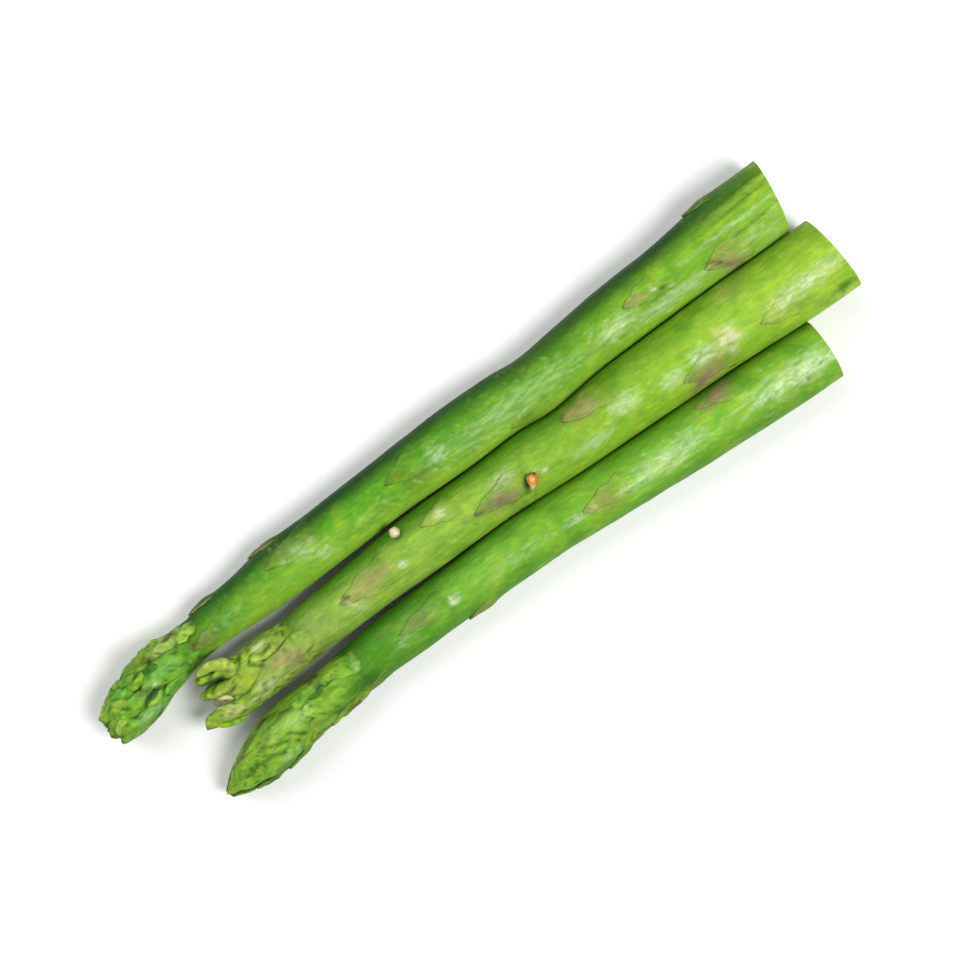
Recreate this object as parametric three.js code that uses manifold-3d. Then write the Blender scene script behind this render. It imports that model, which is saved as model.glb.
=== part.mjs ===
// A bundle of three cooked green asparagus spears lying side by side, with two bits of seasoning on the
// middle one. Millimetres. +X runs along the spears to their cut ends, +Z is up, and they lie on Z = 0.
// Each spear grew as one piece, so its stem, its scale leaves and its tip are one solid.
import * as THREE from "three";
import { mergeVertices } from "three/addons/utils/BufferGeometryUtils.js";
import Module from "manifold-3d";

const wasm = await Module();
wasm.setup();

// Sizes that all the spears share
const RESTING_DEPTH = 0.2; // how much of a stem's underside is pressed flat by its own weight
const STEM_SIDES = 16;
const SCALE_COLUMNS = 4; // facets across a scale
const CORNER = (1 + 1 / Math.cos(Math.PI / STEM_SIDES)) / 2; // flats are as far in as corners are out
const RING_STEP = 5; // along a stem
const TIP_RING_STEP = 4; // along the core of a tip
const DETAIL = 0.06; // the smallest step that is kept where scales cross
const GOLDEN_ANGLE = (137.5 * Math.PI) / 180; // from one scale of a tip to the next
const ROOT_DEPTH = 0.7; // how deep a scale is sunk in what it grows from
const ROOT_DIP = 0.3; // how far its base starts under the skin
const SCALE_EDGE = 0.65; // thickness of a scale's free end
const THINNEST = 0.25; // of a scale's buried root
const TIP_OVERHANG = 0.12; // share of its length by which the last scale of a tip passes the core
const LEAF_THICKNESS = 0.85; // of a scale leaf on the stem
const SWELL = { height: 0.3, past: 3, length: 4.5, width: 0.34 }; // of the stem, past a leaf's base
const SIDE_PRESS = 0.9; // share of its height that a scale loses where it faces the next spear

// Each station is [x, y, radius, lift]: a point of the centreline, the radius there, and how far the stem is
// held clear of the surface. Each leaf on the stem is [x of its base, turn, length, half width]. Turns are in
// degrees round the stem, from its top towards +Y. These leaves show from above, and the ones below follow from
// them. Loose scales stand out of the end of a tip: one parts from it at a share of its length, partsAt, and
// reach is how far its free end is from the centreline.
const SPEARS = [
  {
    name: "asparagus_spear_1",
    color: 0x6ea838,
    seed: 11,
    cutSlant: 0.17,
    pressedSides: [-1],
    stations: [
      [87.2, 15.25, 8.15, 0],
      [78.0, 15.25, 8.05, 0],
      [70.0, 15.1, 7.6, 0],
      [60.0, 14.8, 7.1, 0],
      [46.0, 14.7, 6.85, 0],
      [36.0, 14.25, 6.55, 0],
      [24.0, 13.5, 6.55, 0],
      [15.4, 14.4, 6.55, 0],
      [3.0, 14.65, 6.7, 0],
      [-14.0, 14.85, 6.2, 0],
      [-30.0, 14.6, 6.15, 0],
      [-43.4, 14.45, 6.0, 0],
      [-51.8, 14.15, 5.35, 0.1],
      [-59.0, 14.1, 4.75, 0.4],
      [-67.0, 13.5, 4.2, 1.3],
      [-72.8, 13.0, 5.0, 1.3],
      [-77.5, 12.3, 5.4, 1.1],
      [-81.8, 10.8, 5.4, 0.9],
      [-86.0, 9.6, 4.9, 1.0],
      [-89.2, 9.0, 3.8, 1.7],
      [-90.8, 8.8, 2.0, 3.4],
    ],
    leaves: [
      [78.5, -34, 12, 4.4],
      [79.0, 82, 9, 3.6],
      [57.0, 2, 9, 2.8],
      [24.5, -50, 10, 3.6],
      [-2.5, 8, 11, 3.4],
      [-31.0, 20, 13, 3.8],
      [-37.0, 84, 9, 3.0],
      [-55.5, 84, 7.5, 2.4],
      [-58.5, -24, 9, 2.6],
    ],
    tip: { from: -61, scales: 26, length: [11.5, 6.8], halfWidth: [3.3, 2.2], thickness: [1.2, 1.0] },
    looseScales: [
      { x: -82.5, turn: 47, length: 8.4, halfWidth: 2.2, thickness: 1.1, reach: 4.2, partsAt: 0.2 },
      { x: -84.0, turn: -58, length: 6.8, halfWidth: 2.2, thickness: 1.1, reach: 4.2, partsAt: 0.2 },
      { x: -84.0, turn: -14, length: 7.4, halfWidth: 2.1, thickness: 1.1, reach: 2.8, partsAt: 0.2 },
      { x: -84.0, turn: 166, length: 7.0, halfWidth: 2.6, thickness: 1.1, reach: 1.6, partsAt: 0.2 },
      { x: -84.5, turn: 96, length: 7.0, halfWidth: 2.6, thickness: 1.1, reach: 1.2, partsAt: 0.2 },
      { x: -84.5, turn: -112, length: 6.8, halfWidth: 2.6, thickness: 1.1, reach: 1.4, partsAt: 0.2 },
      { x: -84.5, turn: 20, length: 7.0, halfWidth: 2.4, thickness: 1.1, reach: 0.9, partsAt: 0.2 },
    ],
  },
  {
    name: "asparagus_spear_2",
    color: 0x93bd3c,
    seed: 22,
    cutSlant: -0.1,
    pressedSides: [-1, 1],
    stations: [
      [90.4, -2.1, 8.7, 0],
      [80.0, -1.8, 8.55, 0],
      [70.0, -1.2, 8.35, 0],
      [60.0, -0.75, 8.05, 0],
      [48.0, -0.45, 7.8, 0],
      [36.4, -0.15, 7.5, 0],
      [24.0, -0.25, 6.85, 0],
      [15.4, 0.5, 6.95, 0],
      [3.0, 1.0, 6.5, 0],
      [-14.0, 1.3, 6.45, 0],
      [-27.0, 1.2, 5.95, 0],
      [-39.2, 0.8, 5.55, 0.1],
      [-47.6, 0.5, 5.2, 0.6],
      [-55.5, 0.45, 5.65, 0.8],
      [-60.2, 0.0, 5.5, 0.9],
      [-63.6, -0.2, 4.8, 1.2],
      [-66.3, -0.2, 3.7, 1.9],
      [-68.3, -0.1, 2.0, 3.0],
    ],
    leaves: [
      [78.0, -25, 9, 3.2],
      [62.5, -34, 13.5, 4.8],
      [36.0, 38, 12.5, 4.2],
      [11.5, -14, 14, 3.6],
      [-3.5, 24, 9.5, 3.0],
      [-22.5, 2, 13.5, 3.6],
      [-38.0, -44, 10, 3.0],
    ],
    tip: { from: -43, scales: 18, length: [12.5, 8.5], halfWidth: [3.6, 2.7], thickness: [1.2, 1.05] },
    looseScales: [
      { x: -56.5, turn: 56, length: 13.0, halfWidth: 2.2, thickness: 1.3, reach: 8.0, partsAt: 0 },
      { x: -59.0, turn: 30, length: 12.0, halfWidth: 2.1, thickness: 1.2, reach: 4.9, partsAt: 0.2 },
      { x: -58.5, turn: -51, length: 15.2, halfWidth: 3.2, thickness: 1.3, reach: 3.6, partsAt: 0.45 },
      { x: -59.0, turn: -150, length: 12.0, halfWidth: 2.8, thickness: 1.2, reach: 2.8, partsAt: 0.2 },
      { x: -59.0, turn: 140, length: 11.0, halfWidth: 2.6, thickness: 1.2, reach: 3.4, partsAt: 0.2 },
      { x: -47.0, turn: -2, length: 18.0, halfWidth: 3.0, thickness: 1.2, reach: 6.2, partsAt: 0.3 },
    ],
  },
  {
    name: "asparagus_spear_3",
    color: 0x7cb33c,
    seed: 33,
    cutSlant: 0,
    pressedSides: [1],
    stations: [
      [77.2, -17.3, 6.8, 0],
      [66.0, -16.65, 6.95, 0],
      [55.0, -15.9, 6.85, 0],
      [43.0, -15.1, 6.7, 0],
      [32.2, -14.35, 6.4, 0],
      [21.0, -13.5, 6.2, 0],
      [10.0, -12.45, 6.1, 0],
      [-1.4, -11.95, 6.1, 0],
      [-14.0, -11.7, 5.75, 0],
      [-29.0, -11.6, 5.65, 0],
      [-39.0, -11.6, 5.0, 0.5],
      [-47.6, -12.2, 4.85, 1.1],
      [-55.0, -12.55, 5.2, 1.1],
      [-61.0, -13.2, 5.5, 1.1],
      [-66.5, -14.3, 5.3, 1.2],
      [-71.0, -15.1, 4.3, 1.5],
      [-75.0, -15.75, 2.9, 2.1],
      [-79.2, -16.5, 0.7, 3.7],
    ],
    leaves: [
      [59.0, 46, 12, 3.8],
      [27.5, -8, 11.5, 3.5],
      [-7.5, -78, 9, 3.0],
      [-17.0, 0, 13, 3.3],
      [-35.0, -80, 10, 3.2],
    ],
    tip: { from: -37, scales: 30, length: [12.5, 5.8], halfWidth: [3.7, 1.5], thickness: [1.2, 0.85] },
    looseScales: [],
  },
];

// The bits of seasoning: centre, full sizes, turn about Z, how much one end narrows, and how rough they are
const CRUMBS = [
  {
    name: "pepper_crumb",
    color: 0xb5772e,
    centre: [11.4, -2.3, 14.35],
    size: [3.3, 2.3, 1.9],
    turn: 0.93,
    taper: 0.4,
    roughness: 0.12,
  },
  {
    name: "mustard_seed",
    color: 0xd9cf9e,
    centre: [-18.0, 6.45, 11.95],
    size: [2.45, 2.3, 2.3],
    turn: 0.4,
    taper: 0,
    roughness: 0,
  },
];

// A small seeded random generator, so that each build is the same
function randomFrom(seed) {
  let state = seed >>> 0;
  return () => {
    state = (state + 0x6d2b79f5) >>> 0;
    let t = Math.imul(state ^ (state >>> 15), 1 | state);
    t = (t + Math.imul(t ^ (t >>> 7), 61 | t)) ^ t;
    return ((t ^ (t >>> 14)) >>> 0) / 4294967296;
  };
}

const mix = (a, b, t) => a + (b - a) * t;
const smooth = (a, b, x) => THREE.MathUtils.smoothstep(x, a, b);

// A closed geometry from rings of equal point count, each end closed by a fan about its middle
function loft(rings) {
  const count = rings[0].length;
  const points = rings.flat();
  const faces = [];
  for (let r = 0; r + 1 < rings.length; r++) {
    for (let k = 0; k < count; k++) {
      const a = r * count + k;
      const b = r * count + ((k + 1) % count);
      faces.push(a, b, a + count, b, b + count, a + count);
    }
  }
  for (const [ring, start] of [
    [0, 0],
    [rings.length - 1, (rings.length - 1) * count],
  ]) {
    const middle = new THREE.Vector3();
    rings[ring].forEach((p) => middle.addScaledVector(p, 1 / count));
    const centre = points.push(middle) - 1;
    for (let k = 0; k < count; k++) {
      const a = start + k;
      const b = start + ((k + 1) % count);
      faces.push(...(ring === 0 ? [b, a, centre] : [a, b, centre]));
    }
  }
  const geometry = new THREE.BufferGeometry().setFromPoints(points);
  geometry.setIndex(faces);
  return geometry;
}

// A geometry with nothing but its positions
function bareOf(geometry) {
  const bare = geometry.clone();
  bare.deleteAttribute("normal");
  bare.deleteAttribute("uv");
  return bare;
}

// A closed geometry, wound either way, as a manifold-3d solid, and back again
function solidOf(geometry) {
  const merged = mergeVertices(bareOf(geometry), 1e-4);
  const vertProperties = new Float32Array(merged.attributes.position.array);
  const triVerts = new Uint32Array(merged.index.array);
  const solid = new wasm.Manifold(new wasm.Mesh({ numProp: 3, vertProperties, triVerts }));
  if (solid.volume() > 0) return solid;
  for (let i = 0; i < triVerts.length; i += 3) {
    [triVerts[i + 1], triVerts[i + 2]] = [triVerts[i + 2], triVerts[i + 1]];
  }
  return new wasm.Manifold(new wasm.Mesh({ numProp: 3, vertProperties, triVerts }));
}

function geometryOf(solid) {
  const mesh = solid.getMesh();
  const geometry = new THREE.BufferGeometry();
  geometry.setAttribute("position", new THREE.BufferAttribute(new Float32Array(mesh.vertProperties), 3));
  geometry.setIndex(new THREE.BufferAttribute(new Uint32Array(mesh.triVerts), 1));
  geometry.computeVertexNormals();
  return geometry;
}

// Scales that cross can close a pocket between them: the flesh fills it, so only the outer skin is kept
function outerSkin(solid) {
  return solid.decompose().sort((a, b) => b.volume() - a.volume())[0];
}

// The line and thickness of a spear, by distance from its cut end
class SpearLine {
  constructor(spear) {
    const centres = spear.stations.map(([x, y, radius, lift]) => {
      return new THREE.Vector3(x, y, radius - RESTING_DEPTH + lift);
    });
    const radii = spear.stations.map(([, , radius]) => new THREE.Vector3(radius, 0, 0));
    this.curve = new THREE.CatmullRomCurve3(centres, false, "catmullrom", 0.5);
    this.curve.arcLengthDivisions = 600;
    this.radii = new THREE.CatmullRomCurve3(radii, false, "catmullrom", 0.5);
    this.length = this.curve.getLength();
    this.spear = spear;
    this.swells = [];
  }

  // Distance from the cut end of the place on the centreline with this x
  distanceAt(x) {
    let low = 0;
    let high = 1;
    for (let i = 0; i < 24; i++) {
      const middle = (low + high) / 2;
      if (this.curve.getPointAt(middle).x > x) low = middle;
      else high = middle;
    }
    return low * this.length;
  }

  // Past the end of the centreline, it runs straight on
  frame(distance) {
    const inside = THREE.MathUtils.clamp(distance / this.length, 0, 1);
    const t = this.curve.getUtoTmapping(inside);
    const along = this.curve.getTangent(t).normalize();
    const centre = this.curve.getPoint(t).addScaledVector(along, distance - inside * this.length);
    const up = new THREE.Vector3(0, 0, 1);
    up.addScaledVector(along, -up.dot(along)).normalize();
    const side = new THREE.Vector3().crossVectors(along, up);
    return { centre, along, up, side, radius: Math.max(this.radii.getPoint(t).x, 0.3) };
  }

  // How much relief is left where the spear is pressed against a neighbour
  freedom(turn) {
    let left = 1;
    for (const side of this.spear.pressedSides) {
      left -= SIDE_PRESS * smooth(0.55, 0.95, side * Math.sin(turn));
    }
    return left;
  }

  skin(distance, turn, frame = this.frame(distance)) {
    let radius = frame.radius;
    for (const swell of this.swells) {
      const along = (distance - swell.distance) / SWELL.length;
      const round = Math.sin((turn - swell.turn) / 2) / SWELL.width;
      radius += SWELL.height * this.freedom(turn) * Math.exp(-along * along - round * round);
    }
    return radius;
  }

  point(distance, turn, radius) {
    const { centre, up, side } = this.frame(distance);
    return centre
      .clone()
      .addScaledVector(up, radius * Math.cos(turn))
      .addScaledVector(side, radius * Math.sin(turn));
  }
}

// The stem and the core of the tip, as one tube that narrows to the tip
function stemGeometry(line, tipStart) {
  const distances = [];
  for (let d = 0; d < line.length - 0.4; d += d < tipStart ? RING_STEP : TIP_RING_STEP) distances.push(d);
  distances.push(line.length);
  return loft(
    distances.map((distance) => {
      const ring = [];
      const frame = line.frame(distance);
      for (let k = 0; k < STEM_SIDES; k++) {
        const turn = ((k + 0.5) / STEM_SIDES) * 2 * Math.PI;
        const radius = line.skin(distance, turn, frame) * CORNER;
        const point = line.point(distance, turn, radius);
        if (distance === 0) point.x += line.spear.cutSlant * radius * Math.sin(turn);
        ring.push(point);
      }
      return ring;
    }),
  );
}

// A scale: a leaf that hugs the spear, thick along its middle, with its free end lifted. outline(p) is its
// half width and rise(p) its height, both as shares, for p from its base to its end.
function scaleGeometry(line, scale, { rows, outline, rise }) {
  const loose = scale.reach !== undefined;
  const root = line.frame(scale.distance).radius;
  const rings = [];
  for (let i = 0; i <= rows; i++) {
    const p = i / rows;
    const distance = scale.distance + scale.length * p;
    const standing = loose ? mix(root, scale.reach, smooth(scale.partsAt, 1, p)) : 0;
    const free = loose ? smooth(0.35, 0.8, p) : smooth(0.7, 1, p);
    const middle = loose ? standing : line.frame(distance).radius;
    const halfWidth = Math.max(scale.halfWidth * outline(p), 0.3);
    const spread = Math.min(halfWidth / Math.max(middle, 1.8), 1.3);
    const outer = [];
    const inner = [];
    for (let k = 0; k <= SCALE_COLUMNS; k++) {
      const q = (2 * k) / SCALE_COLUMNS - 1;
      const turn = scale.turn + q * spread;
      const skin = loose ? standing : line.skin(distance, turn);
      const height = scale.thickness * rise(p) * (1 - 0.45 * q * q) - ROOT_DIP * (1 - smooth(0, 0.2, p));
      const top = skin + line.freedom(turn) * height;
      const under = Math.min(mix(skin - ROOT_DEPTH, top - SCALE_EDGE, free), top - THINNEST);
      outer.push(line.point(distance, turn, top));
      if (k % 2 === 0) inner.unshift(line.point(distance, turn, Math.max(under, THINNEST)));
    }
    rings.push([...outer, ...inner]);
  }
  return loft(rings);
}

const LEAF = {
  rows: 3,
  outline: (p) => Math.pow(1 - p, 0.8) * (1 + 0.35 * p),
  rise: (p) => smooth(0, 0.35, p) * (1 - 0.2 * p),
};
const TIP_SCALE = {
  rows: 4,
  outline: (p) => Math.pow(1 - p, 0.6) * (0.72 + 1.3 * p),
  rise: (p) => (0.3 + 0.7 * smooth(0, 0.5, p)) * (1 - 0.3 * p * p),
};
const LOOSE_SCALE = { ...TIP_SCALE, rows: 6 };

// Scale leaves up the stem: those seen from above, and one on the hidden side between each pair of them
function stemLeaves(line, random) {
  const shown = line.spear.leaves.map(([x, degrees, length, halfWidth]) => {
    return { distance: line.distanceAt(x), turn: THREE.MathUtils.degToRad(degrees), length, halfWidth };
  });
  const hidden = [];
  for (let i = 0; i + 1 < shown.length; i += 2) {
    const [before, after] = [shown[i], shown[i + 1]];
    hidden.push({
      distance: (before.distance + after.distance) / 2 + mix(-2, 2, random()),
      turn: (before.turn + after.turn) / 2 + Math.PI + mix(-0.4, 0.4, random()),
      length: (before.length + after.length) / 2,
      halfWidth: (before.halfWidth + after.halfWidth) / 2,
    });
  }
  return [...shown, ...hidden].map((leaf) => ({ ...leaf, thickness: LEAF_THICKNESS }));
}

// The packed scales of a tip: a spiral that tightens towards the end, from large scales to small
function tipScales(line, random) {
  const { from, scales, length, halfWidth, thickness } = line.spear.tip;
  const start = line.distanceAt(from);
  const end = line.length - (1 - TIP_OVERHANG) * length[1];
  return Array.from({ length: scales }, (_, k) => {
    const f = k / (scales - 1);
    return {
      distance: mix(start, end, Math.pow(f, 0.9)),
      turn: k * GOLDEN_ANGLE + mix(-0.12, 0.12, random()),
      length: mix(...length, f) * mix(0.92, 1.08, random()),
      halfWidth: mix(...halfWidth, f),
      thickness: mix(...thickness, f),
    };
  });
}

function spearMesh(spear) {
  const line = new SpearLine(spear);
  const random = randomFrom(spear.seed);
  const leaves = stemLeaves(line, random);
  line.swells = leaves.map(({ distance, turn }) => ({ distance: distance + SWELL.past, turn }));
  const loose = spear.looseScales.map(({ x, turn, ...scale }) => {
    return { ...scale, distance: line.distanceAt(x), turn: THREE.MathUtils.degToRad(turn) };
  });
  const geometries = [
    stemGeometry(line, line.distanceAt(spear.tip.from)),
    ...leaves.map((leaf) => scaleGeometry(line, leaf, LEAF)),
    ...tipScales(line, random).map((scale) => scaleGeometry(line, scale, TIP_SCALE)),
    ...loose.map((scale) => scaleGeometry(line, scale, LOOSE_SCALE)),
  ];
  const whole = wasm.Manifold.union(geometries.map(solidOf)).trimByPlane([0, 0, 1], 0);
  const material = new THREE.MeshStandardMaterial({ color: spear.color, roughness: 0.38, metalness: 0 });
  const mesh = new THREE.Mesh(geometryOf(outerSkin(whole.simplify(DETAIL))), material);
  mesh.name = spear.name;
  return mesh;
}

// A seed or crumb: a rounded body, a little longer than wide
function crumbMesh(crumb) {
  const random = randomFrom(7);
  const geometry = mergeVertices(bareOf(new THREE.IcosahedronGeometry(0.5, 1)), 1e-4);
  const points = geometry.attributes.position;
  for (let i = 0; i < points.count; i++) {
    const bump = 1 - crumb.roughness * random();
    const narrow = 1 - crumb.taper * (0.5 - points.getX(i));
    points.setXYZ(i, points.getX(i) * bump, points.getY(i) * bump * narrow, points.getZ(i) * bump * narrow);
  }
  geometry.computeVertexNormals();
  const material = new THREE.MeshStandardMaterial({ color: crumb.color, roughness: 0.5, metalness: 0 });
  const mesh = new THREE.Mesh(geometry, material);
  mesh.scale.set(...crumb.size);
  mesh.rotation.z = crumb.turn;
  mesh.position.set(...crumb.centre);
  mesh.name = crumb.name;
  return mesh;
}

const bundle = new THREE.Group();
bundle.add(...SPEARS.map(spearMesh), ...CRUMBS.map(crumbMesh));

export default bundle;
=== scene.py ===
import math

import bpy
import numpy as np
from mathutils import Matrix, Vector


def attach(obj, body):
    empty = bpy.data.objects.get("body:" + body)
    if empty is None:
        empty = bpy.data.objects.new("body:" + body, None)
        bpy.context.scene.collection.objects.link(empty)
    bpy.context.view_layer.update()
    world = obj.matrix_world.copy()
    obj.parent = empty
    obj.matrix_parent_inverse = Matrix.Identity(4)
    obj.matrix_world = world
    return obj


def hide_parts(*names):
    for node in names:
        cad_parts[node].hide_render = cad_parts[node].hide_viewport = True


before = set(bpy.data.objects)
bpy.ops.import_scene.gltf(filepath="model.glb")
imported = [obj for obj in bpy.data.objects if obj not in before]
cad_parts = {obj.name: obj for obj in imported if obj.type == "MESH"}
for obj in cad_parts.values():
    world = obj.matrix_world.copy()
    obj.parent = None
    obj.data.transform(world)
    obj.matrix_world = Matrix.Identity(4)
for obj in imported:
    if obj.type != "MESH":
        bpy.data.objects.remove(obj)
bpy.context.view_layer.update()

# Three cooked, oiled asparagus spears side by side, and two bits of seasoning. The shapes are worked out in
# millimetres, in the part's own frame, and written to the meshes in metres.
MM = 0.001

# Sizes that all the spears share
RESTING_DEPTH = 0.2  # how much of a stem's underside is pressed flat by its own weight
GOLDEN_ANGLE = math.radians(137.5)
ROOT_DIP = 0.3  # how far the top of a scale's root sinks into the skin
ROOT_DEPTH = 0.7  # how far its underside lies below the skin
TIP_OVERHANG = 0.12
THINNEST = 0.15
LEAF = {"thickness": 0.6, "dip": 0.06, "waver": 0.11, "lumps": 0.07}  # of the stem's, where a tip's differ
SWELL = {"height": 0.3, "past": 3.0, "length": 4.5, "width": 0.34}  # of the stem where a leaf grows
SIDE_PRESS = 0.9  # share of the relief lost where a spear is pressed against its neighbour
UNEVEN, RIDGES, TOUCHING = 0.07, 0.04, 0.2  # relief of the skin, and how far it bulges against a neighbour
GRAIN_SHIFT = 40  # gives each scale a piece of the grain of its own
PHASE = 6.28  # a whole turn, as the part's formulas round it

# How finely the meshes are drawn
LINE_SAMPLES = 601
STEM_STEP, STEM_SIDES = 0.55, 108
SCALE_ROWS, SCALE_COLUMNS = 24, 15
ROLL_ROWS, ROLL_SIDES = 60, 28
FACE_RINGS = (1, 0.985, 0.95, 0.9, 0.82, 0.74, 0.66, 0.58, 0.5, 0.42, 0.34, 0.26, 0.18, 0.1, 0.03)


def srgb(red, green, blue):
    """A colour given as the screen shows it, in linear values."""
    value = np.array([red, green, blue], float) / 255
    return np.where(value <= 0.04045, value / 12.92, ((value + 0.055) / 1.055) ** 2.4)


def palette(**colours):
    return {name: srgb(*colour) for name, colour in colours.items()}


# Colours of the leaves' middles, of the scales, and of what is painted over both and the skin
BLUSH = palette(
    tan=(160, 150, 104), plum=(136, 122, 92), olive=(112, 142, 48), grey=(118, 142, 76), pale=(168, 190, 104)
)
# light, mid and deep are one green drawn lighter and darker, as painted light and shade on the tip's scales
SCALE_TINTS = palette(
    light=(150, 190, 84), mid=(124, 172, 58), cool=(104, 168, 62), deep=(74, 130, 36), olive=(128, 162, 56),
    yellow=(150, 178, 82), pale=(184, 202, 124), plum=(128, 134, 58), cream=(212, 212, 160),
    lobe=(140, 192, 64), hood=(162, 188, 88),
)
# Paints: the crease green is painted shade in creases and the pepper crumb's painted shadow, the hole green is
# painted shade in hollows, bluish is used as painted shade between the third tip's lobes, and deep is painted
# shade on flanks and between scales as well as the darker green of the skin's mottling. The bright green is
# painted light on lit lobes and flanks, and pale, mint, white and cream are painted highlights of the oil,
# cream also being the real cream of the opened tip.
PAINT = palette(
    crease=(38, 72, 14), hole=(22, 34, 8), brown=(92, 74, 34), purple=(78, 58, 62), bluish=(56, 92, 78),
    tan=(158, 146, 108), mauve=(134, 118, 104), olive=(124, 144, 62), grey=(122, 140, 92),
    pale=(186, 208, 132), mint=(190, 222, 166), white=(226, 236, 206), cream=(220, 214, 180),
    bright=(160, 206, 74), deep=(48, 104, 20), yellow=(176, 196, 66),
)
# the paints of painted highlights, which lie in broken patches
BROKEN = ("pale", "mint", "white", "cream")  # paints that lie in broken patches
SEEN_FROM = (4.5, 7.5)  # heights over which paint and pools of oil fade in, as they are placed from above
MARGIN = srgb(184, 198, 120)
WITHERED = srgb(112, 92, 58)  # the thin tips of leaves and scales
FLESH, FLESH_RIM = srgb(210, 220, 158), srgb(138, 178, 72)
HEART = srgb(214, 214, 168)
# painted shade: the green of scale roots tucked under their neighbours, of scale outlines and dark flecks, of
# the rolls' undersides and of the tip's core
CREASE = srgb(50, 88, 22)
RETURNED = np.array([0.84, 0.8, 0.74])  # of each colour given, for it to look as given under the studio light
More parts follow.
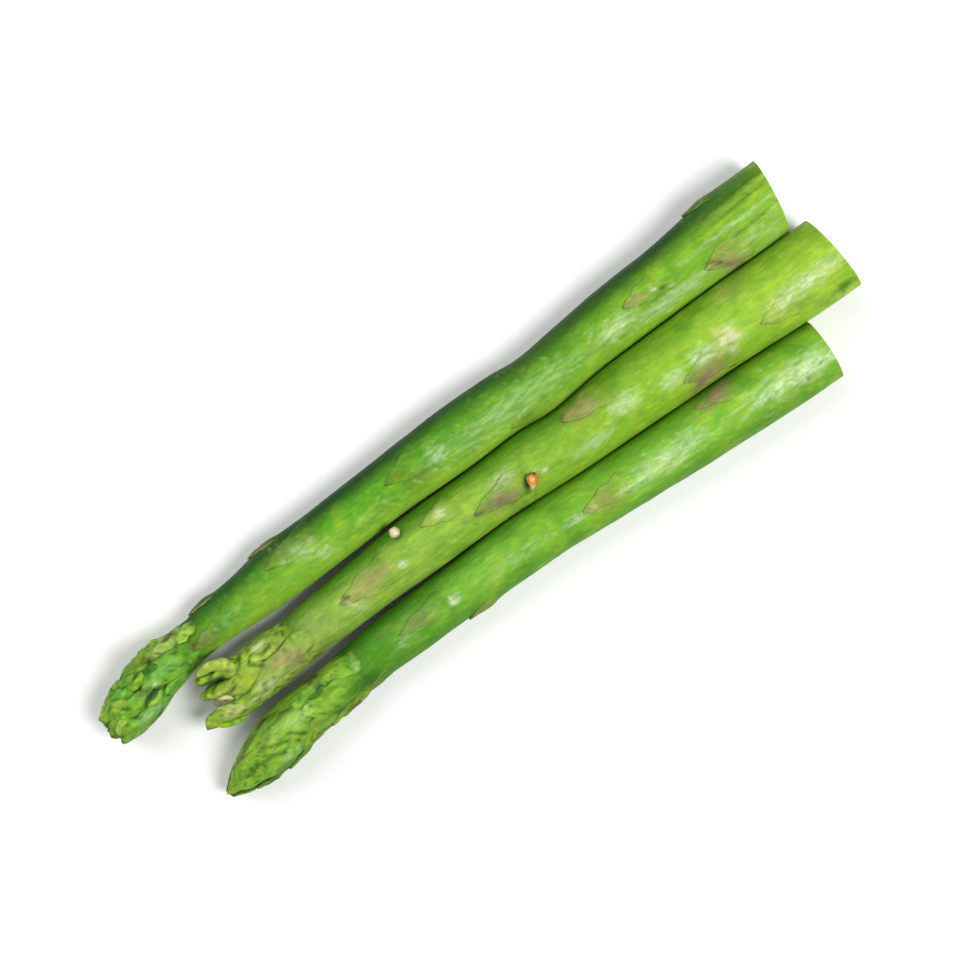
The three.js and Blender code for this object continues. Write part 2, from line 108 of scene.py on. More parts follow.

# The spears' tables give places in the part's frame, turns and angles in degrees, and colours as shown:
#   tip: first x, number of packed scales, and their length, half width and thickness at its two ends
#   skin: x, red, green, blue; stations: x, y, radius, lift; leaves: x, turn, length, half width, blush
#   loose: x, turn, length, half width, thickness, reach of its end from the line, share where it parts
#   seen: x and y of root and end, half width, thickness, tint; rolls: tint, and x, y, z, radius on the way
#   patches: x, y, half length, half width, angle, paint, amount, many of them painted shade and painted
#       highlights; wet: x, y, half length, half width, amount
# high_side (x, amount) paints shade onto the flank towards +y, and low_side paints shade onto the flank towards
# -y where it is above 0 and light where it is below 0. crinkled is the relief of the scales, and how strongly
# light and dark flecks are painted on them as their highlights and shade.
SPEAR_1 = {
    "name": "asparagus_spear_1", "slot": "deep_green_skin",
    "seed": 11, "low_side": -0.75, "high_side": [(72, 1), (86, 0.5)], "crinkled": 0.26, "open": 0,
    "cut_slant": 0.17, "pressed_sides": [-1], "shade": (16, 66, 4), "scale": (122, 174, 58),
    "tip": (-61, 26, (11.5, 6.8), (3.3, 2.2), (1.2, 1)),
    "skin": [
        (-90, 112, 160, 52), (-62, 86, 146, 38), (-40, 92, 160, 40), (0, 92, 158, 36), (45, 112, 168, 38),
        (88, 138, 188, 58),
    ],
    "stations": [
        (87.2, 15.25, 8.15, 0), (78, 15.25, 8.05, 0), (70, 15.1, 7.6, 0), (60, 14.8, 7.1, 0),
        (46, 14.7, 6.85, 0), (36, 14.25, 6.55, 0), (24, 13.5, 6.55, 0), (15.4, 14.4, 6.55, 0),
        (3, 14.65, 6.7, 0), (-14, 14.85, 6.2, 0), (-30, 14.6, 6.15, 0), (-43.4, 14.45, 6, 0),
        (-51.8, 14.15, 5.35, 0.1), (-59, 14.1, 4.75, 0.4), (-67, 13.5, 4.2, 1.3), (-72.8, 13, 5, 1.3),
        (-77.5, 12.3, 5.4, 1.1), (-81.8, 10.8, 5.4, 0.9), (-86, 9.6, 4.9, 1), (-89.2, 9, 3.8, 1.7),
        (-90.8, 8.8, 2, 3.4),
    ],
    "leaves": [
        (78.5, -34, 12, 4.4, "tan"), (79, 82, 9, 3.6, "grey"), (57, 2, 9, 2.8, "tan"),
        (24.5, -50, 10, 3.6, "olive"), (-2.5, 8, 11, 3.4, "olive"), (-31, 20, 13, 3.8, "olive"),
        (-37, 84, 9, 3, "plum"), (-55.5, 84, 7.5, 2.4, "plum"), (-58.5, -24, 9, 2.6, "plum"),
    ],
    "loose": [
        (-82.5, 47, 8.4, 2.2, 1.1, 4.2, 0.2), (-84, -58, 6.8, 2.2, 1.1, 4.2, 0.2),
        (-84, -14, 7.4, 2.1, 1.1, 2.8, 0.2), (-84, 166, 7, 2.6, 1.1, 1.6, 0.2),
        (-84.5, 96, 7, 2.6, 1.1, 1.2, 0.2), (-84.5, -112, 6.8, 2.6, 1.1, 1.4, 0.2),
        (-84.5, 20, 7, 2.4, 1.1, 0.9, 0.2), (-86.8, 70, 4.3, 1.7, 1, 2, 0.2),
        (-86.8, -165, 4.2, 1.8, 1, 2.6, 0.2), (-86.9, 130, 4.2, 1.8, 1, 2.8, 0.2),
    ],
    "seen": [
        (-62, 10.4, -71.5, 8.6, 2.4, 1, "deep"), (-62.5, 16.8, -69, 15.4, 1.5, 1.4, "light"),
        (-66, 12.2, -79.5, 11.6, 3.2, 1.5, "cool"), (-66.5, 17.2, -74.5, 16, 2, 1.3, "pale"),
        (-69, 9, -77.5, 7.8, 2.2, 1.3, "cool"), (-70.5, 16.6, -78, 17.2, 1.8, 1.2, "olive"),
        (-74.5, 14.8, -82, 15.4, 1.8, 1.3, "mid"), (-74.5, 7.9, -86.5, 6.4, 2.5, 1.6, "cool"),
        (-78.5, 10.6, -87.5, 10.4, 2.3, 1.4, "mid"), (-79, 13.6, -86.5, 14, 1.7, 1.3, "cool"),
        (-83, 8.6, -90.3, 7.8, 2.1, 1.4, "mid"), (-84, 11.6, -89.8, 11.6, 1.8, 1.3, "mid"),
        (-83, 6.6, -89.4, 5.4, 1.7, 1.1, "cool"), (-66.5, 10.4, -72.5, 10.9, 1.3, 1.2, "deep"),
        (-72.5, 13.4, -78.5, 14.4, 1.2, 1.5, "deep"), (-77, 9.2, -83.5, 9, 1.1, 1.2, "deep"),
        (-80.5, 15.8, -86.5, 15.2, 1.3, 1.2, "mid"), (-81, 12, -87.5, 12.6, 1.4, 1.4, "light"),
        (-86, 13.4, -90.2, 12.4, 1.2, 1.2, "plum"), (-86, 9.8, -90, 9.6, 1.2, 1.3, "olive"),
    ],
    "rolls": [
        ("olive", [
            (-79.6, 16.2, 10.5, 0.5), (-77.6, 17, 10.6, 0.9), (-75.8, 17.6, 9.9, 0.8),
            (-74.2, 17.4, 9.8, 0.5),
        ]),
        ("mid", [
            (-77.4, 14.8, 12, 0.5), (-78.8, 13.8, 12.3, 0.9), (-80.6, 13.4, 12.1, 0.9), (-82, 14, 11.4, 0.5),
        ]),
        ("mid", [
            (-84.6, 12.4, 11.2, 0.5), (-86.2, 11.4, 11.1, 0.9), (-87.6, 11.8, 10.2, 0.8),
            (-88.6, 12.8, 8.7, 0.5),
        ]),
        ("light", [
            (-85.2, 8, 11.2, 0.5), (-86.8, 8.8, 11, 0.8), (-88.4, 8.4, 10.3, 0.8), (-89.4, 7.2, 9.4, 0.5),
        ]),
        ("deep", [
            (-70.6, 14.6, 10.4, 0.4), (-72.2, 14.2, 11, 0.7), (-73.8, 14.8, 10.9, 0.7),
            (-75, 15.8, 10.6, 0.4),
        ]),
        ("mid", [
            (-81, 8.6, 11.6, 0.4), (-79.4, 8.2, 11.6, 0.7), (-77.8, 8.6, 11.2, 0.7), (-76.4, 9.6, 11.4, 0.4),
        ]),
    ],
    "patches": [
        (-75.5, 16.5, 1.6, 0.6, -20, "crease", 0.9), (-79, 15, 1.3, 0.6, 30, "crease", 0.9),
        (-79.3, 9.6, 2.7, 0.5, 16, "crease", 0.95), (-72.5, 11.6, 1.4, 0.4, -30, "crease", 0.6),
        (-83.5, 12.6, 1.5, 0.4, 25, "crease", 0.6), (-69, 17.6, 1.8, 0.7, 0, "purple", 0.75),
        (-91, 7.5, 1, 1, 0, "brown", 0.75), (-80, 16.9, 7, 1.3, 18, "deep", 0.45),
        (-88, 15, 1.7, 0.6, 25, "brown", 0.75), (-65.5, 12.4, 1.9, 0.8, -20, "brown", 0.6),
        (-77, 17, 3, 1.4, 0, "olive", 0.6), (-84.6, 10.6, 1.7, 0.4, -35, "crease", 0.7),
        (-87.2, 13.2, 1.4, 0.4, 40, "crease", 0.6), (-66.8, 16.2, 1.6, 1.2, 10, "bright", 0.4),
        (-81.5, 7, 2.4, 0.7, 15, "mint", 0.5), (-72, 12.8, 3.2, 0.6, 0, "mint", 0.35),
        (57, 13.5, 0.7, 0.5, 0, "brown", 0.9), (55.4, 14.2, 0.6, 0.35, 0, "white", 0.9),
        (58.8, 12.8, 0.8, 0.35, 0, "white", 0.8), (72, 9, 3.2, 1.5, -25, "tan", 1),
        (69.2, 10.8, 2.2, 0.55, -32, "brown", 0.9), (73.5, 7.4, 1.6, 0.5, -10, "mauve", 0.9),
        (77, 10.6, 3.4, 0.5, 8, "pale", 0.7), (-7.5, 12, 3.6, 1.6, 10, "olive", 0.55),
        (-39.5, 17, 3.4, 1.8, 0, "grey", 0.3), (-33, 16, 2, 2.6, 0, "olive", 0.35),
        (79, 21.4, 9, 1.6, 0, "deep", 0.7), (75, 15.2, 15, 0.35, 0, "mint", 0.5),
        (44.5, 12.4, 4.6, 2, 0, "mint", 0.7), (58, 10.6, 10, 1.2, 0, "mint", 0.7),
        (18, 12.6, 19, 3, 0, "mint", 0.45), (80, 20.3, 9, 0.35, 3, "crease", 0.6),
        (80, 17.9, 9, 0.35, 3, "crease", 0.5), (81, 19.2, 8, 0.35, 3, "pale", 0.35),
        (79, 13.1, 8, 0.3, 2, "crease", 0.5), (-1, 14, 3, 2.2, 0, "mint", 0.4),
        (-34, 13.5, 4.5, 2.4, -30, "mint", 0.45), (-18, 12.4, 5, 1.4, 0, "pale", 0.35),
        (79, 9, 8, 1.5, 0, "mint", 0.35), (-38, 12.4, 17, 3, 0, "bright", 0.4),
    ],
    "wet": [
        (20, 13.5, 19, 2.2, 0.16), (45, 13, 5, 2.4, 0.65), (58, 10.6, 10, 1.3, 0.85),
        (75, 15.2, 15, 0.7, 0.6), (82, 11, 5, 1.8, 0.5), (-1.5, 14, 2, 1.8, 0.8), (-32, 12, 1.8, 1.3, 1),
        (-36, 15, 3.5, 1.8, 0.6), (-55, 13, 5, 1.8, 0.4), (-77, 11.5, 4, 1.5, 0.5), (-82, 7, 3, 1, 0.7),
    ],
}
SPEAR_2 = {
    "name": "asparagus_spear_2", "slot": "yellow_green_skin",
    "seed": 22, "low_side": -0.15, "high_side": [(-50, 0.5), (-36, 0.9), (25, 0.95), (45, 0.65), (90, 0.5)],
    "crinkled": 0.24, "open": 1, "cut_slant": -0.1, "pressed_sides": [-1, 1], "shade": (62, 116, 14),
    "scale": (152, 186, 70),
    "tip": (-43, 18, (12.5, 8.5), (3.6, 2.7), (1.2, 1.05)),
    "skin": [
        (-68, 154, 182, 84), (-43, 144, 180, 84), (-10, 140, 184, 72), (30, 138, 186, 56), (60, 146, 194, 60),
        (90, 158, 200, 66),
    ],
    "stations": [
        (90.4, -2.1, 8.7, 0), (80, -1.8, 8.55, 0), (70, -1.2, 8.35, 0), (60, -0.75, 8.05, 0),
        (48, -0.45, 7.8, 0), (36.4, -0.15, 7.5, 0), (24, -0.25, 6.85, 0), (15.4, 0.5, 6.95, 0),
        (3, 1, 6.5, 0), (-14, 1.3, 6.45, 0), (-27, 1.2, 5.95, 0), (-39.2, 0.8, 5.55, 0.1),
        (-47.6, 0.5, 5.2, 0.6), (-55.5, 0.45, 5.65, 0.8), (-60.2, 0, 5.5, 0.9), (-63.6, -0.2, 4.8, 1.2),
        (-66.3, -0.2, 3.7, 1.9), (-68.3, -0.1, 2, 3),
    ],
    "leaves": [
        (78, -25, 9, 3.2, "pale"), (62.5, -34, 13.5, 4.8, "plum"), (36, 38, 12.5, 4.2, "tan"),
        (11.5, -14, 14, 3.6, "plum"), (-3.5, 24, 9.5, 3, "pale"), (-22.5, 2, 13.5, 3.6, "tan"),
        (-38, -44, 10, 3, "grey"),
    ],
    "loose": [
        (-56.5, 53, 13, 2.8, 1.3, 8, 0), (-59, 38, 12, 2.2, 1.1, 4.6, 0.1),
        (-58.5, -44, 15.2, 3, 1.3, 4.4, 0.4), (-59, -150, 12, 2.8, 1.2, 2.8, 0.2),
        (-59, 140, 11, 2.6, 1.2, 3.4, 0.2),
    ],
    "seen": [
        (-60, 0.2, -69.8, 0.2, 1.9, 0.5, "cream"), (-46, -4.4, -58.5, -5.2, 2.4, 1.2, "yellow"),
        (-44.5, 0.2, -62.5, -3, 2.9, 1.35, "yellow"), (-60.5, -0.2, -67.5, -1.4, 1.5, 1, "pale"),
        (-51, 2.6, -58.5, 3, 1.6, 1.5, "hood"), (-62, 1.6, -67.5, 2.6, 1.3, 1, "olive"),
        (-48.5, 4.4, -58.5, 5, 2.2, 1.3, "yellow"), (-54.5, 2.4, -66.5, 0.2, 2.5, 1.6, "yellow"),
        (-55.5, 5.2, -62, 4.2, 1.8, 1.4, "yellow"), (-57, -4.2, -66.5, -4.8, 1.8, 1.2, "pale"),
    ],
    "rolls": [
        ("hood", [
            (-69.4, 7, 9.6, 0.5), (-67.4, 7.4, 10.4, 1), (-65.2, 7, 10.9, 1.25), (-63.2, 6, 11.2, 1.35),
            (-62.2, 4.4, 11.2, 1.3), (-62.8, 2.8, 11, 1.1), (-64.4, 2, 10.7, 0.85), (-66.2, 2.2, 10.2, 0.6),
        ]),
        ("pale", [
            (-68.9, 1.2, 9, 0.4), (-67.6, 0.6, 9.8, 0.6), (-66.4, -0.2, 10.2, 0.6), (-65.4, -1.2, 10.4, 0.4),
        ]),
        ("yellow", [
            (-73.6, -2.8, 7.5, 0.5), (-73.2, -1.9, 7.9, 0.7), (-71.8, -1.5, 8.4, 0.8),
            (-69.6, -1.6, 8.8, 0.5),
        ]),
        ("lobe", [
            (-72.4, -3.4, 7.6, 0.4), (-70.4, -4.6, 8, 0.6), (-68.4, -5.3, 8.4, 0.65), (-66.2, -5.7, 8.8, 0.5),
        ]),
    ],
    # the crease patch left of the pepper crumb is its painted shadow, and the white patch beside it is a
    # painted glint
    "patches": [
        (-33.5, -1, 2.6, 0.4, -53, "cream", 0.85), (-34, 1.5, 0.8, 0.5, 0, "purple", 0.8),
        (-25, 1.5, 3.2, 1.4, 0, "tan", 0.5), (53.5, -6.9, 4.6, 1.6, 8, "tan", 0.9),
        (51.5, -7.2, 2, 0.6, 14, "mauve", 0.9), (28.5, 3, 4.4, 1.9, -15, "tan", 0.6),
        (4.5, -2, 4.2, 1.7, -10, "mauve", 0.65), (-1.5, -1.2, 1.7, 0.7, 0, "bluish", 0.4),
        (6.5, 1, 2.5, 1.6, 0, "grey", 0.5), (14.8, -2.1, 0.9, 0.5, 30, "white", 0.8),
        (10, -2.5, 1.7, 0.75, 60, "crease", 0.9), (67.5, 4.8, 3.2, 2, 0, "tan", 0.35),
        (-52, -1.2, 4, 2.5, -20, "tan", 0.75), (-50, -2.6, 2.2, 1, -20, "mauve", 0.4),
        (-54, 3, 1.8, 0.4, 20, "crease", 0.85), (-67.8, -0.2, 2.2, 1.2, 0, "cream", 0.9),
        (-64.6, 0.5, 1.8, 0.35, 17, "crease", 0.85), (-65, 3.8, 1.5, 1, 0, "hole", 1),
        (-67.6, 4.7, 1.8, 0.4, -18, "crease", 0.85), (-70.4, 1.6, 0.9, 0.5, 0, "brown", 0.8),
        (-67.2, -3.2, 2.6, 1, -15, "cream", 0.65), (-65, -6, 1.3, 0.35, 0, "hole", 0.9),
        (-57.6, -3, 1.7, 0.6, 0, "white", 0.85), (-62, -4, 0.9, 0.5, 0, "white", 0.85),
        (-55, 4.8, 1.5, 0.6, 0, "white", 0.6), (-8, 4, 1.2, 0.8, 0, "white", 0.6),
        (-21, 0, 0.8, 0.5, 0, "white", 0.85), (-60.5, 0.5, 2.2, 1.6, 20, "yellow", 0.6),
        (-60, 4.6, 1.6, 0.7, 60, "crease", 0.6), (-42, 1, 3, 2, 0, "grey", 0.35),
        (47.5, -3, 2.8, 1.7, 0, "mint", 0.7), (55.5, -2.6, 3, 2, 0, "mint", 0.75),
        (61.5, -3, 2.6, 2.8, 0, "cream", 0.85), (80, -3.4, 11.5, 2, 0, "pale", 0.75),
        (36, -1.2, 3.6, 1.7, 0, "mint", 0.75), (26.5, -3.6, 5, 1.2, 0, "mint", 0.5),
        (7, 1.8, 3.2, 1.4, 0, "mint", 0.45), (-56, -3.2, 5, 1.4, 10, "pale", 0.5),
        (87.5, -9, 2.4, 0.9, 0, "deep", 0.8),
    ],
    "wet": [
        (47.5, -3, 2.8, 1.8, 0.7), (55, -2.5, 3.2, 2.4, 0.75), (61.5, -3, 2.8, 2.8, 0.7),
        (81, -3.5, 10, 2.4, 0.7), (36, -1, 3.4, 2, 0.9), (27, -3.5, 5, 1.4, 0.7), (-8, 4, 1.8, 1.2, 0.8),
        (-20.5, 0, 1.2, 1, 1), (6, 1.5, 3, 1.8, 0.5), (-33, -1.5, 3, 1.8, 0.6), (-58, -3, 3, 1.2, 0.9),
        (-55, 4.8, 1.6, 0.9, 0.8), (13, -1, 1.6, 0.8, 0.8),
    ],
}
SPEAR_3 = {
    "name": "asparagus_spear_3", "slot": "mid_green_skin",
    "seed": 33, "low_side": 0.45, "high_side": [(-30, 0.85), (-5, 0.6), (40, 0.5), (60, 0.35)],
    "crinkled": 0.17, "open": 0, "cut_slant": 0, "pressed_sides": [1], "shade": (44, 98, 16),
    "scale": (122, 168, 58),
    "tip": (-37, 30, (12.5, 6.6), (3.7, 2.1), (1.2, 0.85)),
    "skin": [
        (-79, 122, 168, 54), (-37, 88, 152, 42), (-10, 116, 178, 56), (30, 126, 186, 56), (60, 126, 184, 54),
        (77, 132, 188, 62),
    ],
    "stations": [
        (77.2, -17.3, 6.8, 0), (66, -16.65, 6.95, 0), (55, -15.9, 6.85, 0), (43, -15.1, 6.7, 0),
        (32.2, -14.35, 6.4, 0), (21, -13.5, 6.2, 0), (10, -12.45, 6.1, 0), (-1.4, -11.95, 6.1, 0),
        (-14, -11.7, 5.75, 0), (-29, -11.6, 5.65, 0), (-39, -11.6, 5, 0.5), (-47.6, -12.2, 4.85, 1.1),
        (-55, -12.55, 5.2, 1.1), (-61, -13.2, 5.5, 1.1), (-66.5, -14.3, 5.3, 1.2), (-71, -15.1, 4.3, 1.5),
        (-75, -15.75, 2.9, 2.1), (-79.2, -16.5, 0.7, 3.7),
    ],
    "leaves": [
        (59, 46, 12, 3.8, "tan"), (27.5, -8, 11.5, 3.5, "tan"), (-7.5, -78, 9, 3, "plum"),
        (-17, 0, 13, 3.3, "grey"), (-35, -80, 10, 3.2, "plum"),
    ],
    "loose": [],
    "seen": [
        (-39.5, -9.6, -50.5, -8.8, 3, 0.95, "mid"), (-41.5, -14.2, -56.5, -12.6, 3.3, 1.5, "mid"),
        (-43, -16.9, -49, -17.7, 1.5, 1.3, "plum"), (-46.5, -8.4, -60.5, -9, 2.8, 1.3, "mid"),
        (-48, -16.1, -60.5, -16.6, 2.4, 1.2, "mid"), (-53.5, -12.2, -67.5, -12.8, 3.3, 1.6, "light"),
        (-57.5, -9.9, -70.5, -11.4, 2.5, 1.3, "mid"), (-58, -16.2, -70, -17.2, 2.7, 1.4, "mid"),
        (-62.5, -13.6, -74, -14.6, 2.6, 1.5, "mid"), (-66.5, -16.6, -76.5, -17, 2, 1.3, "mid"),
        (-68.5, -12.9, -77.5, -15.4, 2, 1.2, "mid"), (-72.5, -15.3, -79.4, -16.4, 1.6, 1, "olive"),
        (-47.5, -10.6, -54.5, -11.2, 1.4, 1.2, "deep"), (-61, -11.6, -68, -12.4, 1.3, 1.3, "olive"),
        (-55, -14.6, -62, -15.4, 1.5, 1.4, "mid"), (-66.5, -14.6, -73, -16, 1.4, 1.4, "olive"),
        (-64.5, -18, -70.5, -18.6, 1.3, 1, "light"), (-52, -17.6, -58, -18.2, 1.3, 0.9, "plum"),
    ],
    "rolls": [],
    "patches": [
        (52.5, -11.3, 4.4, 1.4, 10, "mauve", 0.7), (21.5, -15, 4.2, 2.3, 0, "olive", 0.45),
        (14, -14.5, 3.2, 0.45, -4, "white", 0.55), (-25, -11, 4.6, 1.7, 0, "grey", 0.6),
        (-17, -12, 0.5, 1.1, 0, "white", 0.7), (66, -17.2, 11.5, 2.6, -3, "mint", 0.5),
        (72, -18.3, 4.6, 2.3, -3, "mint", 0.6), (36.5, -15.2, 10, 2.4, -4, "mint", 0.5),
        (-5, -12.8, 9, 2.2, 0, "pale", 0.2), (70, -19.8, 0.5, 0.45, 0, "brown", 0.9),
        (74, -18.6, 0.45, 0.45, 0, "brown", 0.7), (36, -14.5, 9, 0.4, -4, "mint", 0.55),
        (36, -16, 9, 0.35, -4, "mint", 0.5), (37, -17.4, 8, 0.35, -4, "mint", 0.5),
        (36, -18.8, 7, 0.3, -4, "mint", 0.35), (-47.5, -13.6, 3, 1.5, 0, "bright", 0.6),
        (-58, -12, 4.2, 1.4, -8, "bright", 0.6), (-58.7, -9.5, 4.2, 0.4, 8, "crease", 0.8),
        (-55, -12.2, 1.6, 0.35, 50, "white", 0.55), (-50.5, -7.6, 1.6, 0.7, 0, "purple", 0.8),
        (-50, -9.6, 1.4, 0.8, 0, "bluish", 0.8), (-70, -20.2, 1.6, 0.7, 0, "purple", 0.8),
        (-56, -18.8, 1.6, 0.7, 0, "purple", 0.65), (-47, -18, 1.8, 0.8, 0, "brown", 0.8),
        (-79, -16.5, 1.3, 0.8, 0, "yellow", 0.6), (-64, -19.4, 10, 1.1, -2, "deep", 0.6),
        (-44.2, -14.6, 4.2, 1.5, 0, "deep", 0.7), (-49, -12, 2.6, 0.6, 10, "deep", 0.6),
        (-51.8, -10.8, 2.4, 1, -15, "deep", 0.55), (-49.5, -16.2, 3.6, 0.8, 0, "deep", 0.65),
        (-59, -8.8, 5, 0.5, 8, "deep", 0.6), (-55, -15.6, 1.9, 0.9, 0, "olive", 0.7),
        (-66.3, -12.9, 2.4, 0.6, 30, "deep", 0.6), (-72, -15.4, 3, 1, 0, "deep", 0.3),
        (-61, -10.2, 5, 0.4, 5, "deep", 0.6), (-66, -15.6, 4, 0.4, -5, "deep", 0.6),
        (-69.5, -10.8, 7.5, 0.35, 20, "purple", 0.7), (-41, -10, 0.5, 2.2, -15, "pale", 0.3),
        (-64, -14, 2.4, 0.4, -20, "crease", 0.55), (-70.5, -15.6, 2, 0.4, 10, "crease", 0.5),
    ],
    "wet": [
        (36, -15.5, 10, 2.6, 0.85), (68, -17.5, 9, 2.8, 0.95), (13.5, -14, 3.5, 1.2, 0.7),
        (-16, -11.8, 1.8, 1.5, 0.8), (0, -13, 10, 2.2, 0.35), (-30, -13, 3.5, 1.8, 0.5),
        (-41.3, -10.5, 0.9, 1.8, 0.4), (-58, -12, 4, 1.6, 0.5), (-63, -17.5, 3, 1, 0.6),
    ],
}


def random_from(seed):
    """A small seeded generator, the same as the one that the part's scales are placed with."""
    state = seed & 0xFFFFFFFF

    def multiply(a, b):
        return (a * b) & 0xFFFFFFFF

    def draw():
        nonlocal state
        state = (state + 0x6D2B79F5) & 0xFFFFFFFF
        t = multiply(state ^ (state >> 15), 1 | state)
        t = ((t + multiply(t ^ (t >> 7), 61 | t)) & 0xFFFFFFFF) ^ t
        return ((t ^ (t >> 14)) & 0xFFFFFFFF) / 4294967296

    return draw


def mix(a, b, t):
    return a + (b - a) * t


def smooth(a, b, x):
    t = np.clip((np.asarray(x, float) - a) / (b - a), 0, 1)
    return t * t * (3 - 2 * t)


def blend_colour(base, other, share):
    """base mixed towards other, where share has one value for each point."""
    return base + (other - base) * np.asarray(share)[..., None]


def ripple(seed, distance, turn, waves, slow, around):
    """A gentle uneven relief from -1 to 1, made of a few seeded waves that close up round the stem."""
    random = random_from(seed)
    total = np.zeros(np.broadcast(distance, turn).shape)
    for _ in range(waves):
        lobes = round(mix(1, around, random()))
        pace = mix(0.4, 1.0, random()) * slow
        total = total + np.sin(pace * distance + lobes * turn + PHASE * random())
    return total / waves


def crinkle(seed, along, across, longest, shortest, waves=10):
    """Uneven relief, mostly from -1 to 1: waves that cross in all directions, with lengths in millimetres."""
    random = random_from(seed)
    total = np.zeros(np.broadcast(along, across).shape)
    bend = 0.3 * longest
    along, across = (
        along + bend * np.sin(across * 4 / longest + 6 * random()),
        across + bend * np.sin(along * 3.4 / longest + 6 * random()),
    )
    for _ in range(waves):
        heading = 2 * math.pi * random()
        pace = 2 * math.pi / mix(longest, shortest, random())
        along_wave = along * math.cos(heading) + across * math.sin(heading)
        total = total + np.sin(pace * along_wave + 2 * math.pi * random())
    return total / (1.4 * math.sqrt(waves))


def with_ends(knots):
    """The knots, with one more before and behind them, straight on."""
    return np.vstack([2 * knots[0] - knots[1], knots, 2 * knots[-1] - knots[-2]])


def curve(knots, place):
    """The Catmull-Rom curve through all knots but the outer two, and its change, at places counted in knots."""
    first = np.minimum(place.astype(int), len(knots) - 4)
    t = (place - first)[:, None]
    a, b, c, d = (knots[first + k] for k in range(4))
    start, end = (c - a) / 2, (d - b) / 2
    second = 3 * (c - b) - 2 * start - end
    third = 2 * (b - c) + start + end
    return b + t * (start + t * (second + t * third)), start + t * (2 * second + 3 * t * third)


def unit(vectors):
    return vectors / np.linalg.norm(vectors, axis=1, keepdims=True)


class SpearLine:
    """The line and thickness of a spear, by distance from its cut end."""

    def __init__(self, spear):
        x, y, radius, lift = np.array(spear["stations"], float).T
        self.knots = with_ends(np.column_stack([x, y, radius - RESTING_DEPTH + lift, radius]))
        self.shares = np.linspace(0, 1, LINE_SAMPLES)
        points = self.at_share(self.shares)[0][:, :3]
        steps = np.linalg.norm(np.diff(points, axis=0), axis=1)
        self.lengths = np.concatenate([[0], np.cumsum(steps)])
        self.length = self.lengths[-1]
        self.xs = points[:, 0]
        self.spear, self.seed = spear, spear["seed"]
        self.swells = []

    def at_share(self, share):
        """Centre and radius at a share of the knots, and how they change there."""
        return curve(self.knots, np.clip(share, 0, 1) * (len(self.knots) - 3))

    def distance_at(self, x):
        """Distance from the cut end of the place on the centreline with this x, which may be past its end."""
        return float(np.interp(-x, -self.xs, self.lengths)) + max(self.xs[-1] - x, 0)

    def turn_at(self, distance, y, height):
        """Turn of the place at this distance that is seen at y from above, this far over the skin."""
        centre, _, side, radius = self.frame(distance)
        share = (y - centre[0, 1]) / ((radius[0] + height) * side[0, 1])
        return math.asin(min(max(share, -0.97), 0.97))

    def frame(self, distance):
        """Centre, up, side and radius. Past the end of the centreline, it runs straight on."""
        distance = np.atleast_1d(np.asarray(distance, float))
        inside = np.clip(distance, 0, self.length)
        place, change = self.at_share(np.interp(inside, self.lengths, self.shares))
        along = unit(change[:, :3])
        centre = place[:, :3] + along * (distance - inside)[:, None]
        up = unit(np.array([0.0, 0.0, 1.0]) - along * along[:, 2:3])
        return centre, up, np.cross(along, up), np.maximum(place[:, 3], 0.3)

    def freedom(self, turn):
        """How much relief is left where the spear is pressed against a neighbour."""
        left = np.ones(np.shape(turn))
        for side in self.spear["pressed_sides"]:
            left = left - SIDE_PRESS * smooth(0.55, 0.95, side * np.sin(turn))
        return left

    def skin(self, distance, turn):
        """Radius of the skin, where distance has one value a row of turn."""
        distance = np.atleast_1d(distance)
        radius = np.repeat(self.frame(distance)[3][:, None], np.shape(turn)[1], axis=1)
        rows, free = distance[:, None], self.freedom(turn)
        for swell_distance, swell_turn in self.swells:
            along = (rows - swell_distance) / SWELL["length"]
            around = np.sin((turn - swell_turn) / 2) / SWELL["width"]
            radius = radius + SWELL["height"] * free * np.exp(-(along**2) - around**2)
        radius = radius + UNEVEN * free * ripple(self.seed + 1, rows, turn, 7, 0.9, 6)
        ridges = RIDGES * ripple(self.seed + 2, rows * 0.3, turn, 9, 0.25, 34)
        touching = TOUCHING * (1 - free) * smooth(-0.2, 0.2, np.cos(turn) + 0.4)
        return radius + ridges * free * smooth(0.4, 1, radius / 6) + touching

    def ragged(self, number, points, stretch, longest, shortest):
        """How blots keep their size here: above 1 their edges draw in, and below 1 they spread."""
        waves = crinkle(self.seed + number, points[..., 0] * stretch, points[..., 1], longest, shortest)
        return np.maximum(1 + 0.6 * waves, 0.2)

    def blot(self, points, ragged, x, y, half_length, half_width, angle, amount):
        """Strength of one blot at these points."""
        cos, sin = math.cos(math.radians(angle)), math.sin(math.radians(angle))
        along = (points[..., 0] - x) * cos + (points[..., 1] - y) * sin
        across = (points[..., 1] - y) * cos - (points[..., 0] - x) * sin
        away = ((along / half_length) ** 2 + (across / half_width) ** 2) * ragged
        return amount * np.exp(-(away**1.5)) * smooth(*SEEN_FROM, points[..., 2])

    def wetness(self, points):
        """How much oil lies at these points: a thin film with pools where the photograph shines."""
        shares = np.full(points.shape[:-1], 0.08)
        ragged = self.ragged(47, points, 0.3, 3.5, 1.2)
        for *place, amount in self.spear["wet"]:
            shares = np.maximum(shares, self.blot(points, ragged, *place, 0, amount))
        return shares

    def painted(self, points, tone):
        """The tone with the blotches, creases and pale streaks that are seen from above."""
        ragged = self.ragged(41, points, 1, 4.0, 1.3)
        waves = crinkle(self.seed + 43, points[..., 0] * 0.22, points[..., 1], 2.6, 1.0)
        broken = 0.25 + 0.75 * smooth(-0.45, 0.5, waves)
        for *place, paint, amount in self.spear["patches"]:
            share = self.blot(points, ragged, *place, amount)
            tone = blend_colour(tone, PAINT[paint], share * broken if paint in BROKEN else share)
        return tone

    def points(self, distance, turn, radius):
        """Places at this radius from the line, where turn 0 is up."""
        centre, up, side, _ = self.frame(distance)
        radius = radius[..., None]
        beside = side[:, None] * radius * np.sin(turn)[..., None]
        return centre[:, None] + up[:, None] * radius * np.cos(turn)[..., None] + beside

